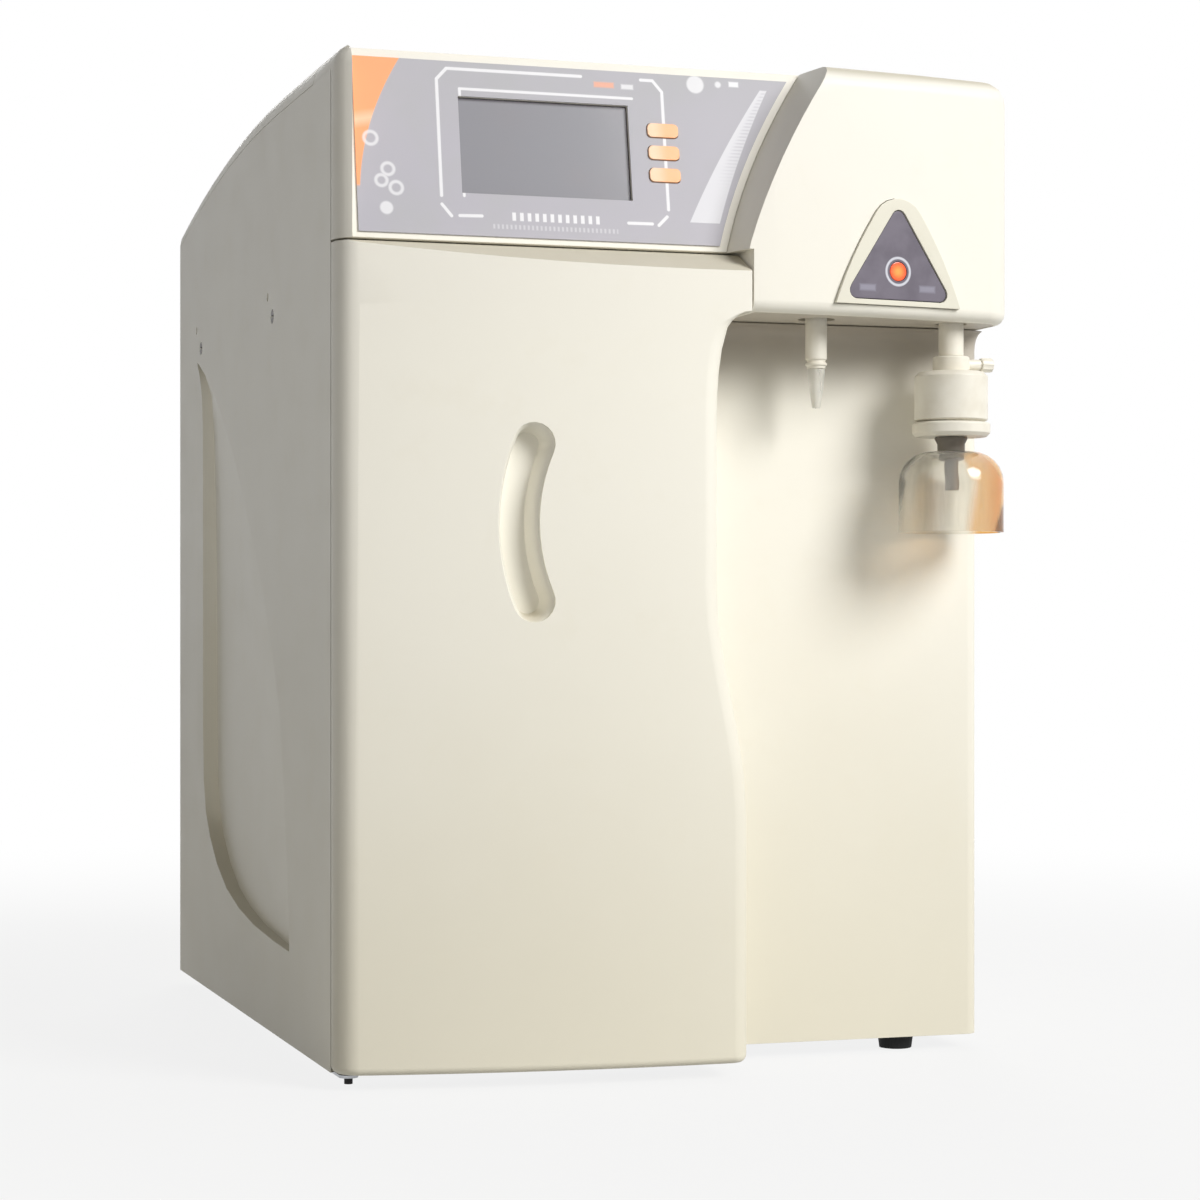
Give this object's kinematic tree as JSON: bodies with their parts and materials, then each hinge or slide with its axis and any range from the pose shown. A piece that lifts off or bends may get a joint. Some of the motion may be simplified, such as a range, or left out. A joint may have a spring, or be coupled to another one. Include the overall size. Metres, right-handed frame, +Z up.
{
  "type": "ultrapure water system",
  "caption": "Bench-top ultrapure water system with a hinged bowed door, tilted control panel, and a dispense head with two outlets over an open alcove.",
  "frame": {"origin": "centre of the overall box on the bench, at the bottom of the feet", "axes": "+X to the machine's right as seen from the front, +Y to its back, +Z up"},
  "size_m": [0.375, 0.509, 0.531],
  "materials": {
    "ivory_shell": "moulded ivory plastic, satin",
    "beige_rim": "moulded beige plastic, satin",
    "grey_film": "printed grey polyester film",
    "screen_glass": "grey display window, smooth",
    "orange_key": "light orange keys",
    "violet_button": "dark grey-violet plastic",
    "orange_lamp": "orange indicator lens",
    "white_plastic": "white plastic fittings",
    "clear_plastic": "clear plastic, smooth",
    "dark_plastic": "dark grey plastic",
    "black_rubber": "black rubber",
    "steel": "bare sheet steel",
    "bright_housing": "bare metal housing",
    "circuit_green": "green circuit board",
    "blue_tube": "blue plastic tube"
  },
  "bodies": {
    "casing": {"front_fascia": "ivory_shell", "alcove_panel": "ivory_shell", "control_panel": "ivory_shell", "outlet_plate": "ivory_shell", "left_side_panel": "ivory_shell", "right_side_panel": "ivory_shell", "top_cover": "ivory_shell", "badge_rim": "beige_rim", "panel_film": "grey_film", "display_window": "screen_glass", "pure_outlet_stem": "white_plastic", "filter_stem": "white_plastic", "filter_collar": "white_plastic", "filter_capsule": "white_plastic", "capsule_base": "white_plastic", "feed_port": "white_plastic", "drain_port": "white_plastic", "pretreatment_cartridge": "white_plastic", "polishing_cartridge": "white_plastic", "osmosis_housing": "white_plastic", "pure_outlet_tip": "clear_plastic", "splash_bell": "clear_plastic", "display_module": "dark_plastic", "dispense_switch": "dark_plastic", "pure_outlet_collar": "dark_plastic", "bell_neck": "dark_plastic", "filter_nozzle": "dark_plastic", "door_catch": "dark_plastic", "power_inlet": "dark_plastic", "cartridge_rest": "dark_plastic", "cartridge_head": "dark_plastic", "booster_pump": "dark_plastic", "dispense_valve": "dark_plastic", "lower_hinge_pin": "black_rubber", "front_left_foot": "black_rubber", "front_right_foot": "black_rubber", "rear_left_foot": "black_rubber", "rear_right_foot": "black_rubber", "hinge_plate": "steel", "left_front_screw": "steel", "left_rear_screw": "steel", "right_front_screw": "steel", "right_rear_screw": "steel", "base_tray": "steel", "rear_panel": "steel", "bay_partition": "steel", "power_supply": "bright_housing", "ultraviolet_housing": "bright_housing", "control_board": "circuit_green", "pure_tube": "blue_tube", "filter_tube": "blue_tube"},
    "door": {"front_door": "ivory_shell", "upper_hinge_pin": "steel"},
    "upper_key": {"upper_key": "orange_key"},
    "middle_key": {"middle_key": "orange_key"},
    "lower_key": {"lower_key": "orange_key"},
    "dispense_button": {"dispense_button": "violet_button", "indicator_lamp": "orange_lamp"},
    "power_rocker": {"power_rocker": "black_rubber"},
    "vent_cap": {"vent_cap": "white_plastic"}
  },
  "joints": [
    {"name": "door_hinge", "type": "hinge", "parent": "casing", "child": "door", "pos_m": [-0.1795, -0.2235, 0.219], "axis": [0, 0, -1], "range_deg": [0, 100]},
    {"name": "upper_key_press", "type": "slide", "parent": "casing", "child": "upper_key", "axis": [0, 0.9848, -0.1736], "range_m": [0, 0.0006], "stiffness_N_per_m": 800, "springref_m": -0.0005},
    {"name": "middle_key_press", "type": "slide", "parent": "casing", "child": "middle_key", "axis": [0, 0.9848, -0.1736], "range_m": [0, 0.0006], "stiffness_N_per_m": 800, "springref_m": -0.0005},
    {"name": "lower_key_press", "type": "slide", "parent": "casing", "child": "lower_key", "axis": [0, 0.9848, -0.1736], "range_m": [0, 0.0006], "stiffness_N_per_m": 800, "springref_m": -0.0005},
    {"name": "dispense_press", "type": "slide", "parent": "casing", "child": "dispense_button", "axis": [-0.1333, 0.9911, 0], "range_m": [0, 0.002], "stiffness_N_per_m": 600, "springref_m": -0.001},
    {"name": "power_rocker_tilt", "type": "hinge", "parent": "casing", "child": "power_rocker", "pos_m": [0.0955, 0.2408, 0.078], "axis": [-1, 0, 0], "range_deg": [0, 16]},
    {"name": "vent_cap_turn", "type": "hinge", "parent": "casing", "child": "vent_cap", "pos_m": [0.1738, -0.2195, 0.3776], "axis": [1, 0, 0], "range_deg": [0, 90]}
  ]
}
